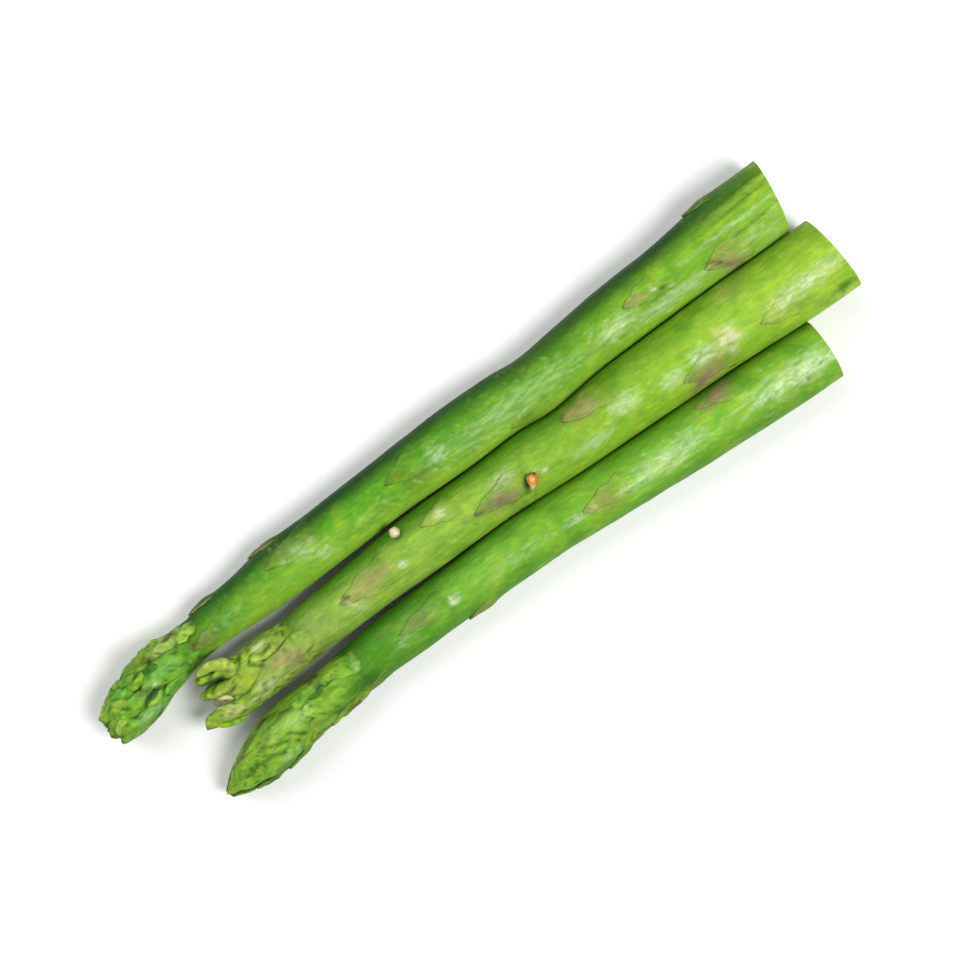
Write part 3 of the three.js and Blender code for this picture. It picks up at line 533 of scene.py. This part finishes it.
    def straightened(self, distance, turn, radius, shift=0.0):
        """The same points as they would lie on a straight spear, which the material's grain follows."""
        rows = np.repeat(np.atleast_1d(distance)[:, None], np.shape(turn)[1], axis=1) + shift
        return np.stack([rows, radius * np.sin(turn) + shift, radius * np.cos(turn)], axis=-1)

    def skin_colour(self, distance, turn):
        """Green of the skin, cloudy, with painted shade on the flanks and underneath, and painted light on the
        -y flank where low_side is below 0.
        """
        x, rows = self.frame(distance)[0][:, 0], distance[:, None]
        stops = np.array(self.spear["skin"], float)
        shades = np.array([srgb(*stop[1:]) for stop in stops])
        along = np.stack([np.interp(x, stops[:, 0], shades[:, k]) for k in range(3)], axis=-1)
        colour = np.repeat(along[:, None], np.shape(turn)[1], axis=1)
        cloudy = crinkle(self.seed + 61, rows, turn * 6, 16, 5)
        colour = blend_colour(colour, PAINT["yellow"], 0.2 * smooth(0.1, 1, cloudy))
        colour = blend_colour(colour, PAINT["deep"], 0.2 * smooth(-0.1, -1, cloudy))
        colour = colour * (1 + 0.09 * crinkle(self.seed + 67, rows * 0.5, turn * 6, 4, 1.4))[..., None]
        # painted shade on the +y flank by high_side and underneath, and on the -y flank painted shade where
        # low_side is above 0 and painted light where it is below
        high = np.interp(x, *np.array(self.spear["high_side"]).T)[:, None]
        deep = high * smooth(0.1, 0.95, np.sin(turn)) + smooth(-0.1, -0.9, np.cos(turn)) * 0.4
        low = self.spear["low_side"] * smooth(-0.3, -1, np.sin(turn)) * smooth(-0.3, 0.2, np.cos(turn))
        deep = deep + np.maximum(low, 0)
        colour = blend_colour(colour, PAINT["bright"], np.maximum(-low, 0))
        deep = np.clip(deep + 0.14 * ripple(self.seed + 5, rows, turn, 6, 0.12, 4), 0, 1)
        return blend_colour(colour, srgb(*self.spear["shade"]), deep)


def placed(name, data):
    made = bpy.data.objects.new(name, data)
    bpy.context.scene.collection.objects.link(made)
    return made


class MeshMaker:
    """Gathers patches of points into one mesh, with what the material needs to know at each point."""

    def __init__(self):
        self.patches, self.faces, self.count = [], [], 0

    def add(self, points, flow, tone, wet=0.0, cut=0.0, ends=(True, True), turned=False):
        """Rings of points, joined row to row, with the first and last closed about their middles by ends."""
        rows, columns = points.shape[:2]
        marks = np.stack([np.broadcast_to(mark, (rows, columns)) for mark in (wet, cut)], axis=-1)
        index = self.count + np.arange(rows * columns).reshape(rows, columns)
        following = np.roll(index, -1, axis=1)
        quads = np.stack([index[:-1], following[:-1], following[1:], index[1:]], axis=-1).reshape(-1, 4)
        self.keep(points, flow, tone, marks)
        faces = quads.tolist()
        for wanted, row, ring in zip(ends, (0, -1), (index[0, ::-1].tolist(), index[-1].tolist())):
            if wanted:
                middle = self.count
                self.keep(*(values[row].mean(axis=0) for values in (points, flow, tone, marks)))
                faces += [[ring[k], ring[(k + 1) % columns], middle] for k in range(columns)]
        self.faces += [face[::-1] for face in faces] if turned else faces

    def keep(self, *values):
        self.patches.append([value.reshape(-1, value.shape[-1]) for value in values])
        self.count += len(self.patches[-1][0])

    def object(self, name, material):
        mesh = bpy.data.meshes.new(name)
        points, flow, tone, marks = (np.vstack(values) for values in zip(*self.patches))
        points = points * MM
        points[:, 2] = np.maximum(points[:, 2], 0)
        mesh.from_pydata(points.tolist(), [], self.faces)
        for mark, values in zip(("wet", "cut"), marks.T):
            mesh.attributes.new(mark, "FLOAT", "POINT").data.foreach_set("value", values)
        mesh.attributes.new("flow", "FLOAT_VECTOR", "POINT").data.foreach_set("vector", flow.ravel())
        tone = np.column_stack([tone * RETURNED, np.ones(len(tone))])
        mesh.color_attributes.new("tone", "FLOAT_COLOR", "POINT").data.foreach_set("color", tone.ravel())
        mesh.polygons.foreach_set("use_smooth", [True] * len(mesh.polygons))
        mesh.update()
        mesh.materials.append(material)
        return placed(name, mesh)


def scale_outline(p):
    return (1 - p) ** 0.6 * (0.72 + 1.3 * p)


def scale_rise(p):
    return (0.3 + 0.7 * smooth(0, 0.5, p)) * (1 - 0.3 * p * p)


# Outline and rise by the share p of the way from root to end, and thickness of the free margin. A petal is a
# scale that is rounded at its root, where it bulges over its bud, and a lobe is a torn, blunt one.
FORMS = {
    "leaf": (lambda p: (1 - p) ** 0.8 * (1 + 0.35 * p), lambda p: smooth(0, 0.6, p) * (1 - 0.2 * p), 0.15),
    "scale": (scale_outline, scale_rise, 0.34),
    "petal": (
        lambda p: scale_outline(p) * np.sqrt(1 - (1 - np.minimum(p / 0.2, 1)) ** 2 * 0.85),
        lambda p: smooth(0, 0.42, p) * (1 - 0.3 * p * p),
        0.34,
    ),
    "lobe": (lambda p: (0.75 + 0.35 * np.sin(math.pi * p)) * np.sqrt(1 - p**6), scale_rise, 0.34),
}


def add_scale(maker, line, form, colour, distance, turn, length, half_width, thickness, lumps,
              waver=0.05, dip=ROOT_DIP, shift=0, tip_turn=None, reach=None, parts_at=0):
    """One scale or leaf: a thin shell that hugs the spear and lifts at its end, or with reach parts from it."""
    outline, rise, edge = FORMS[form]
    random = random_from(int(distance * 100) + int(turn * 50) + line.seed)
    p = 1 - (1 - np.linspace(0, 1, SCALE_ROWS + 1)) ** 1.25
    q = np.linspace(-1, 1, SCALE_COLUMNS + 1)[None]
    root = line.frame(distance)[3][0]
    distance = distance + length * p
    if reach is None:
        middle, free = line.frame(distance)[3], smooth(0.55, 1, p)
    else:
        middle, free = mix(root, reach, smooth(parts_at, 1, p)), smooth(0.35, 0.8, p)
    half_width = np.maximum(half_width * outline(p), 0.12)
    spread = np.minimum(half_width / np.maximum(middle, 1.8), 1.3)
    waves = [np.sin(p * mix(8, 18, random()) + PHASE * random())[:, None] for _ in range(2)]
    waver = 1 + waver * np.where(q < 0, waves[0], waves[1]) * np.abs(q)
    lean = mix(-0.12, 0.12, random()) * (p**2)[:, None] * spread[0]
    turn = mix(turn, turn if tip_turn is None else tip_turn, p)[:, None] + q * spread[:, None] * waver + lean
    skin = line.skin(distance, turn) if reach is None else np.repeat(middle[:, None], q.shape[1], axis=1)
    veins = 0.03 * np.sin(q * 14 + PHASE * random()) * smooth(0.1, 0.4, p)[:, None] * (1 - q * q)
    rows, across = distance[:, None], turn * 5
    lumps = lumps * crinkle(line.seed + 21, rows, across, 4.5, 1.7)
    height = thickness * rise(p)[:, None] * (1 - 0.5 * q * q) + veins
    height = height + lumps * smooth(0.05, 0.3, p)[:, None] * (1 - q * q)
    height = height - dip * (1 - smooth(0, 0.2, p))[:, None]
    top = skin + line.freedom(turn) * height
    under = np.minimum(mix(skin - ROOT_DEPTH, top - edge, free[:, None]), top - THINNEST)
    under = np.maximum(under, THINNEST)
    fields = crinkle(line.seed + 31, rows, across, 10, 4), crinkle(line.seed + 37, rows, across, 3.2, 1.2)
    outer = line.points(distance, turn, top)
    tone = line.painted(outer, colour(p[:, None], q, line.skin_colour(distance, turn), fields, random))
    inner = line.points(distance, turn, under)[:, ::-1]
    flow = line.straightened(distance, turn, top, shift * random())
    wet = line.wetness(outer)
    maker.add(
        np.concatenate([outer, inner], axis=1),
        np.concatenate([flow, flow[:, ::-1]], axis=1),
        # the underside of each scale and leaf is painted a fifth darker, as shade
        np.concatenate([tone, tone[:, ::-1] * 0.8], axis=1),
        wet=np.concatenate([wet, wet[:, ::-1]], axis=1),
    )


def leaf_colour(blush):
    """A leaf: the stem's green at its base, its own blush over the middle, a pale thin margin, a brown tip."""

    def colour(p, q, skin, fields, random):
        edge = smooth(0.8, 0.98, np.abs(q)) * smooth(0.1, 0.3, p)
        phase = PHASE * random()
        streaks = 0.5 + 0.5 * np.sin(q * 17 + phase) * np.sin(q * 7 + p * 4 + phase)
        patchy = 0.8 + 0.35 * fields[0] + 0.25 * fields[1]
        body = smooth(0.05, 0.6, p) * (0.55 + 0.35 * streaks) * (1 - 0.6 * q * q) * patchy
        tone = blend_colour(skin, BLUSH[blush], np.clip(body, 0, 1))
        tone = blend_colour(tone, MARGIN, 0.4 * edge * random())
        return blend_colour(tone, WITHERED, 0.45 * smooth(0.8, 1, p))

    return colour


def scale_colour(base, other, roughness, merged=False):
    """A scale of the tip: a painted highlight along a line inside its edges, brown thin margins and end,
    painted shade where it is tucked in and along its outline, and light and dark flecks painted as the
    highlights and shade of its crinkles.
    """

    def colour(p, q, skin, fields, random):
        strength = mix(0.88, 1.12, random())
        patch, speck = fields[0], fields[1] * roughness
        tone = base * strength + 0 * p[..., None]
        tone = blend_colour(tone, other * strength, 0.6 * smooth(-0.3, 0.8, patch))
        away = np.abs(q)
        line = smooth(0.62, 0.78, away) * smooth(0.94, 0.84, away) * smooth(0.25, 0.5, p) * random()
        # painted highlights: light flecks, and a light line inside the edges
        light = np.maximum(smooth(0.2, 1.1, speck), 0.6 * line)
        tone = blend_colour(tone, np.minimum(tone * 1.6 + 0.02, 0.9), 0.6 * light)
        # painted shade along the outline, where it is tucked in, and in dark flecks
        outline = mix(0.55, 1.0, random()) * smooth(0.76, 1, away)
        tucked = 0.7 * smooth(0.35, 0.0, p)
        if merged:
            outline, tucked = outline * smooth(0.2, 0.5, p), 0
            tone = blend_colour(skin, tone, smooth(0, 0.5, p))
        dark = tucked + 0.75 * smooth(-0.15, -1.0, speck)
        tone = blend_colour(tone, CREASE, np.clip(dark + outline, 0, 0.85))
        rim = np.maximum(smooth(0.85, 1, away) * smooth(0.5, 0.8, p), smooth(0.88, 1, p))
        return blend_colour(tone, WITHERED, mix(0.0, 0.7, random()) * rim)

    return colour


def add_roll(maker, line, roll, colour):
    """A curled rim: a tube through places given as x, y, z and its own radius."""
    share = np.linspace(0, len(roll) - 1, ROLL_ROWS + 1)
    place, change = curve(with_ends(np.array(roll, float)), share)
    along = unit(change[:, :3])
    side = unit(np.cross(along, [0.0, 0.0, 1.0]))[:, None]
    up = np.cross(side[:, 0], along)[:, None]
    turn = np.linspace(-math.pi, math.pi, ROLL_SIDES, endpoint=False)[None]
    closing = np.sqrt(1 - (2 * share / share[-1] - 1) ** 8)
    radius = np.maximum(place[:, 3] * closing, 0.05)[:, None]
    radius = radius * (1 + 0.16 * crinkle(line.seed + 51, share[:, None] * 2.2, turn * 1.2, 5, 2))
    round_it = side * np.cos(turn)[..., None] + up * np.sin(turn)[..., None]
    points = place[:, None, :3] + radius[..., None] * round_it
    speck = crinkle(line.seed + 37, points[..., 0], points[..., 1], 3.2, 1.2)
    # light flecks painted as highlights, and painted shade on the underside and in dark flecks
    tone = blend_colour(colour, np.minimum(colour * 1.6, 0.9), 0.5 * smooth(0.1, 1, speck))
    dark = 0.6 * smooth(0.1, -0.9, np.sin(turn)) + 0.4 * smooth(-0.2, -1, speck)
    tone = blend_colour(tone, CREASE, dark)
    maker.add(points, points, line.painted(points, tone), wet=line.wetness(points))


def add_stem(maker, line):
    """The stem and the core of the tip, closed by a slightly hollowed cut face and a small end in the tip."""
    spear, rings = line.spear, int(line.length / STEM_STEP)
    distance = np.linspace(0, line.length, rings + 1)
    turn = np.repeat(np.linspace(-math.pi, math.pi, STEM_SIDES, endpoint=False)[None], rings + 1, axis=0)
    radius = line.skin(distance, turn)
    points = line.points(distance, turn, radius)
    slant = spear["cut_slant"] * radius[0] * np.sin(turn[0])
    points[:, :, 0] += slant * np.clip(1 - distance / 4, 0, 1)[:, None]
    # the core of the tip, under its scales, is painted darker as shade
    core = smooth(0, 6, distance - line.distance_at(spear["tip"][0]))[:, None]
    tone = blend_colour(line.skin_colour(distance, turn), CREASE, 0.55 * core)
    tone = blend_colour(tone, HEART, smooth(5, 1, line.length - distance)[:, None] * spear["open"])
    flow = line.straightened(distance, turn, radius)
    maker.add(points, flow, line.painted(points, tone), wet=line.wetness(points), ends=(False, False))

    shares = np.array(FACE_RINGS)
    middle = points[0].mean(axis=0)
    face = middle + (points[0] - middle) * shares[:, None, None]
    rows, turns = shares[:, None], np.repeat(turn[:1], len(shares), axis=0)
    waves = 0.12 * ripple(line.seed + 9, rows * 9, turns, 6, 2, 5) * smooth(1, 0.7, rows)
    face[:, :, 0] -= 0.22 * smooth(1, 0.8, rows) + waves
    tone = blend_colour(np.broadcast_to(FLESH, face.shape), FLESH_RIM, smooth(0.72, 0.97, rows))
    maker.add(face, flow[0] * shares[:, None, None], tone, cut=1.0, ends=(False, True), turned=True)

    middle = points[-1].mean(axis=0)
    face = middle + (points[-1] - middle) * np.array([1, 0.7, 0.4, 0.05])[:, None, None]
    # the small end inside the tip is painted at half the scales' green, as shade
    tone = np.broadcast_to(srgb(*spear["scale"]) * 0.5, face.shape)
    maker.add(face, np.broadcast_to(flow[-1], face.shape), tone, ends=(False, True))


def stem_leaves(line, random):
    """Leaves up the stem: those seen from above, and one on the hidden side between each pair of them."""
    measures = ("distance", "turn", "length", "half_width")
    leaves = [
        dict(zip(measures, (line.distance_at(x), math.radians(turn), length, half_width)), blush=blush)
        for x, turn, length, half_width, blush in line.spear["leaves"]
    ]
    for before, after in list(zip(leaves[::2], leaves[1::2])):
        leaf = {measure: (before[measure] + after[measure]) / 2 for measure in measures}
        leaf["distance"] += mix(-2, 2, random())
        leaf["turn"] = leaf["turn"] + math.pi + mix(-0.4, 0.4, random())
        leaves.append(dict(leaf, blush="tan"))
    return leaves


def tip_scales(line, random):
    """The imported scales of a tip: a spiral that tightens towards the end, from large scales to small."""
    x, count, lengths, half_widths, thicknesses = line.spear["tip"]
    start, end = line.distance_at(x), line.length - (1 - TIP_OVERHANG) * lengths[1]
    for k in range(count):
        f = k / (count - 1)
        yield {
            "distance": mix(start, end, f**0.9),
            "turn": k * GOLDEN_ANGLE + mix(-0.12, 0.12, random()),
            "length": mix(*lengths, f) * mix(0.92, 1.08, random()),
            "half_width": mix(*half_widths, f),
            "thickness": mix(*thicknesses, f),
        }


def spear_object(spear, material):
    line = SpearLine(spear)
    random = random_from(spear["seed"])
    leaves = stem_leaves(line, random)
    line.swells = [(leaf["distance"] + SWELL["past"], leaf["turn"]) for leaf in leaves]
    maker = MeshMaker()
    green, lumps = srgb(*spear["scale"]), spear["crinkled"]
    roughness = min(lumps * 4 + 0.1, 1)
    plain = scale_colour(green, SCALE_TINTS["olive"], roughness)
    add_stem(maker, line)
    for leaf in leaves:
        blush = leaf_colour(leaf.pop("blush"))
        add_scale(maker, line, "leaf", blush, **leaf, **LEAF)
    for scale in tip_scales(line, random):
        facing = math.cos(scale["turn"])  # up is 1, where the scales that are seen take their place
        if facing > 0.2:
            scale["thickness"] *= 0.7
        if facing < 0.72:
            add_scale(maker, line, "scale", plain, **scale, lumps=lumps)
    for x, y, end_x, end_y, half_width, thickness, tint in spear["seen"]:
        start, end = line.distance_at(x), line.distance_at(end_x)
        merged = x > spear["tip"][0] - 6  # into the stem's skin
        add_scale(
            maker, line, "petal", scale_colour(SCALE_TINTS[tint], green, roughness, merged),
            start, line.turn_at(start, y, 0.5), end - start, half_width, thickness, lumps,
            waver=0.12, dip=0.04 if merged else ROOT_DIP, shift=GRAIN_SHIFT,
            tip_turn=line.turn_at(end, end_y, 0.9),
        )
    for x, turn, length, half_width, thickness, reach, parts_at in spear["loose"]:
        add_scale(
            maker, line, "lobe", plain, line.distance_at(x), math.radians(turn), length, half_width, thickness,
            lumps, waver=0.1, shift=GRAIN_SHIFT, reach=reach, parts_at=parts_at,
        )
    for tint, roll in spear["rolls"]:
        add_roll(maker, line, roll, SCALE_TINTS[tint])
    made = maker.object(spear["name"] + "_grown", material)
    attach(made, "root")
    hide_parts(spear["name"])


class Shading:
    """A new material. Its functions add nodes and give back the socket with their result."""

    def __init__(self, name):
        self.material = bpy.data.materials.new(name)
        self.material.use_nodes = True
        self.tree = self.material.node_tree

    def finish(self, **inputs):
        """Sets and joins the shader's inputs, with _ for each space in their names."""
        shader = self.tree.nodes["Principled BSDF"]
        self.feed(shader, {name.replace("_", " "): value for name, value in inputs.items()})
        return self.material

    def feed(self, node, inputs):
        for name, value in inputs.items():
            if isinstance(value, bpy.types.NodeSocket):
                self.tree.links.new(value, node.inputs[name])
            else:
                node.inputs[name].default_value = value

    def add(self, kind, result, inputs, **settings):
        node = self.tree.nodes.new("ShaderNode" + kind)
        for name, value in settings.items():
            setattr(node, name, value)
        self.feed(node, inputs)
        return node.outputs[result]

    def attribute(self, name, result):
        return self.add("Attribute", result, {}, attribute_name=name)

    def noise(self, vector, stretch, detail, rough=0.55):
        vector = self.add("Mapping", "Vector", {"Vector": vector, "Scale": stretch})
        inputs = {"Vector": vector, "Scale": 1, "Detail": detail, "Roughness": rough}
        return self.add("TexNoise", "Fac", inputs)

    def levels(self, value, low, high, to_low, to_high):
        inputs = {"Value": value, "From Min": low, "From Max": high, "To Min": to_low, "To Max": to_high}
        return self.add("MapRange", "Result", inputs)

    def sum(self, operation, a, b):
        return self.add("Math", "Value", {0: a, 1: b}, operation=operation)

    def mixed(self, share, a, b, blend="MIX"):
        return self.add("Mix", 2, {0: share, 6: a, 7: b}, data_type="RGBA", blend_type=blend)

    def bump(self, height, strength, distance):
        return self.add("Bump", "Normal", {"Height": height, "Strength": strength, "Distance": distance})


def skin_material(name):
    """Oiled vegetable skin: fine grain along the spear, soft mottling, and a wet, broken shine, which also
    pales the colour as a painted sheen.
    """
    made = Shading(name)
    flow, tone = made.attribute("flow", "Vector"), made.attribute("tone", "Color")
    grain = made.noise(flow, (0.1, 0.9, 0.9), 4)
    fibres = made.noise(flow, (0.3, 2.6, 2.6), 3)
    mottle = made.noise(flow, (0.22, 0.4, 0.4), 4, 0.65)
    pebbles = made.noise(flow, (1.1, 1.7, 1.7), 3)
    speckle = made.noise(flow, (0.55, 1.5, 1.5), 4, 0.7)
    specks = made.noise(flow, (0.4, 1.3, 1.3), 5, 0.7)
    colour = tone
    for field, low, high, to_low, to_high, light in (
        (grain, 0.45, 0.7, 0.0, 0.22, (1.0, 0.95, 0.42, 1.0)),
        (mottle, 0.3, 0.58, 0.5, 0.0, (0.26, 0.42, 0.2, 1.0)),
        (mottle, 0.52, 0.75, 0.0, 0.4, (0.95, 0.88, 0.45, 1.0)),
        (fibres, 0.5, 0.75, 0.0, 0.18, (0.8, 0.95, 0.55, 1.0)),
        (specks, 0.28, 0.5, 0.5, 0.0, (0.2, 0.38, 0.14, 1.0)),
        (specks, 0.52, 0.72, 0.0, 0.4, (0.92, 0.94, 0.55, 1.0)),
    ):
        colour = made.mixed(made.levels(field, low, high, to_low, to_high), colour, light, "SOFT_LIGHT")
    shine = made.sum("MULTIPLY", made.attribute("wet", "Fac"), made.levels(speckle, 0.42, 0.6, 0.15, 1.0))
    # painted sheen: where the oil lies thick the colour is paled towards a whitish green
    colour = made.mixed(made.levels(shine, 0.08, 1.0, 0.0, 0.42), colour, (0.62, 0.76, 0.46, 1.0))

    cells = made.add("TexVoronoi", "Distance", {"Vector": flow, "Scale": 0.72})
    strands = made.sum("MULTIPLY", made.levels(cells, 0.14, 0.36, 1.0, 0.0), 0.6)
    flesh = made.mixed(strands, tone, (0.3, 0.44, 0.1, 1.0))

    relief = made.sum("MULTIPLY", grain, 0.6)
    for field, share in ((fibres, 0.35), (pebbles, 0.4), (shine, 0.5)):
        relief = made.sum("ADD", relief, made.sum("MULTIPLY", field, share))
    return made.finish(
        Base_Color=made.mixed(made.attribute("cut", "Fac"), colour, flesh),
        Roughness=made.levels(shine, 0.05, 0.5, 0.5, 0.24),
        Coat_Weight=made.levels(shine, 0.05, 0.55, 0.03, 0.72),
        Coat_Roughness=0.33,
        Specular_IOR_Level=0.08,
        Subsurface_Weight=0.12,
        Subsurface_Radius=(0.6, 1.0, 0.25),
        Subsurface_Scale=0.0012,
        Normal=made.bump(relief, 0.6, 0.0004),
    )


for spear in (SPEAR_1, SPEAR_2, SPEAR_3):
    spear_object(spear, skin_material(spear["slot"]))


def seed_object(name, shape, colour, centre, sizes, turn, material):
    """A seed: a ball drawn out by shape(directions) to the given sizes, then turned and set on the stem."""
    latitude = np.linspace(-math.pi / 2, math.pi / 2, 42)[1:-1, None]
    around = np.linspace(-math.pi, math.pi, 72, endpoint=False)[None]
    level = np.cos(latitude)
    x, y, z = level * np.cos(around), level * np.sin(around), np.sin(latitude) + 0 * around
    directions = np.stack([x, y, z], axis=-1)
    reach = shape(directions) * np.array(sizes) / 2
    cos, sin = math.cos(turn), math.sin(turn)
    points = reach @ np.array([[cos, sin, 0], [-sin, cos, 0], [0, 0, 1]]) + np.array(centre)
    maker = MeshMaker()
    maker.add(points, reach, colour(directions), wet=0.5)
    made = maker.object(name + "_grown", material)
    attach(made, "root")
    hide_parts(name)


def seed_material(name):
    """Seed coat: fine pits, a little broken colour and a damp shine."""
    made = Shading(name)
    flow, tone = made.attribute("flow", "Vector"), made.attribute("tone", "Color")
    grain = made.add("TexNoise", "Fac", {"Vector": flow, "Scale": 3.2, "Detail": 4})
    return made.finish(
        Base_Color=made.mixed(0.3, tone, grain.node.outputs["Color"], "SOFT_LIGHT"),
        Roughness=0.38,
        Coat_Weight=0.4,
        Coat_Roughness=0.15,
        Normal=made.bump(grain, 0.5, 0.00015),
    )


def crumb_shape(directions):
    """A cracked peppercorn: one end drawn out to a point, its sides broken in flats and hollows."""
    x, y, z = np.moveaxis(directions, -1, 0)
    waves = np.sin(4.1 * x + 1.3) * np.sin(3.3 * y + 0.4) + 0.5 * np.sin(5.9 * z + 3.1 * x)
    girth = mix(1, 0.42, smooth(0.35, -1, x)) * (1 + 0.08 * waves)
    return np.stack([x * (1 + 0.05 * waves), y * girth, z * girth], axis=-1)


def crumb_colour(directions):
    """Orange-brown husk with a pale broken patch on top that is a painted highlight, a pale pointed end, a dark
    blunt end, and painted shade underneath.
    """
    x, y, z = np.moveaxis(directions, -1, 0)
    uneven = 0.3 * crinkle(5, 3 * x, 3 * y, 4, 1.5)
    # pale is a painted highlight on top; dark is the blunt end's own dark and painted shade underneath
    pale = 0.6 * smooth(0.75, 0.2, np.hypot(x + 0.1, y - 0.1) + uneven) * smooth(0, 0.6, z)
    dark = 0.9 * np.maximum(smooth(0.55, 0.9, x + uneven), smooth(0.3, -0.1, z))
    tone = blend_colour(srgb(204, 132, 42), srgb(244, 200, 116), pale)
    tone = blend_colour(tone, srgb(244, 230, 170), smooth(0.5, 0.85, -x + uneven))
    return blend_colour(tone, srgb(84, 42, 14), dark)


def mustard_shape(directions):
    """Nearly round, a little uneven, and flattened at one end."""
    x, y, _ = np.moveaxis(directions, -1, 0)
    reach = 1 + 0.02 * np.sin(5 * x + 2) + 0.02 * np.sin(6 * y) - 0.05 * smooth(0.93, 1, x)
    return directions * reach[..., None]


def mustard_colour(directions):
    """A cream coat with faint tan streaks from end to end, and painted light on its top."""
    x, y, z = np.moveaxis(directions, -1, 0)
    streaks = np.sin(9 * y + 2.2 * np.sin(3 * x)) * np.sin(4 * y + 1)
    tone = blend_colour(srgb(222, 212, 168), srgb(170, 138, 88), smooth(0.2, 0.9, streaks))
    # painted light: the top is drawn paler
    return blend_colour(tone, srgb(236, 234, 210), 0.6 * smooth(0.5, 1, z))


coat = seed_material("seed_coat")
seed_object(
    "pepper_crumb", crumb_shape, crumb_colour, (11.4, -2.3, 14.1), (3.6, 2.7, 2.3), 0.93, coat
)
seed_object(
    "mustard_seed", mustard_shape, mustard_colour, (-18, 6.4, 11.7), (2.45, 2.35, 2.35), 0.4, coat
)

# The floor, the light and the camera
floor_mesh = bpy.data.meshes.new("floor")
floor_mesh.from_pydata([(-3, -3, 0), (3, -3, 0), (3, 3, 0), (-3, 3, 0)], [], [(0, 1, 2, 3)])
floor_mesh.materials.append(Shading("floor").finish(Base_Color=(0.9, 0.9, 0.9, 1), Roughness=0.9))
floor = placed("floor", floor_mesh)
floor.location.z = -0.00005


def area_light(name, place, size, power):
    """A round light that points at the origin."""
    light = bpy.data.lights.new(name, "AREA")
    light.shape = "DISK"
    light.size = size
    light.energy = power
    made = placed(name, light)
    made.location = place
    made.rotation_euler = (-Vector(place)).to_track_quat("-Z", "Y").to_euler()


area_light("key", (0.34, -0.46, 0.96), 0.62, 10.8)
area_light("fill", (-0.25, 0.85, 0.8), 1.2, 10.0)

world = bpy.data.worlds.new("studio")
world.use_nodes = True
world.node_tree.nodes["Background"].inputs["Color"].default_value = (1, 1, 1, 1)
world.node_tree.nodes["Background"].inputs["Strength"].default_value = 0.29
bpy.context.scene.world = world
bpy.context.scene.view_settings.view_transform = "Standard"

camera_data = bpy.data.cameras.new("camera")
camera_data.sensor_width = 36
camera_data.lens = 100
camera = placed("camera", camera_data)
camera_place = Matrix(((0.7986, -0.6018, 0), (0.6018, 0.7986, 0), (0, 0, 1))).transposed().to_4x4()
camera_place.translation = Vector((0.002825, 0.0044, 0.567))
camera.matrix_world = camera_place
bpy.context.scene.camera = camera
